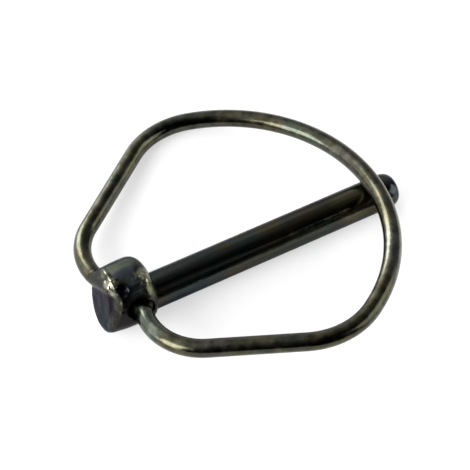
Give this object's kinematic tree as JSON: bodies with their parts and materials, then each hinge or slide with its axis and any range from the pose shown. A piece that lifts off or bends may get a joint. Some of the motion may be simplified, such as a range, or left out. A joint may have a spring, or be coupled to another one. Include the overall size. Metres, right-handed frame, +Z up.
{
  "type": "retaining pin",
  "caption": "Retaining pin with an off-centre forged head and a swinging wire bail that closes over the rounded tip.",
  "frame": {"origin": "on the surface it lies on, under the middle of the closed pin's outline seen from above", "axes": "+X along the shank from head to tip, a fifth of a degree from level; +Z up; the bail lies over the tip with one side on the surface at +Y"},
  "size_m": [0.0744, 0.0748, 0.017],
  "materials": {
    "pin_steel": "dark passivated zinc, glossy, a little dented",
    "spring_wire": "passivated zinc with a faint olive tint, glossy"
  },
  "bodies": {
    "pin": {"pin": "pin_steel"},
    "bail": {"bail": "spring_wire"}
  },
  "joints": [
    {"name": "bail_swing", "type": "hinge", "parent": "pin", "child": "bail", "pos_m": [-0.03178, -0.00223, 0.00769], "axis": [0.3008, -0.9364, 0.1805], "range_deg": [0, 347]}
  ]
}
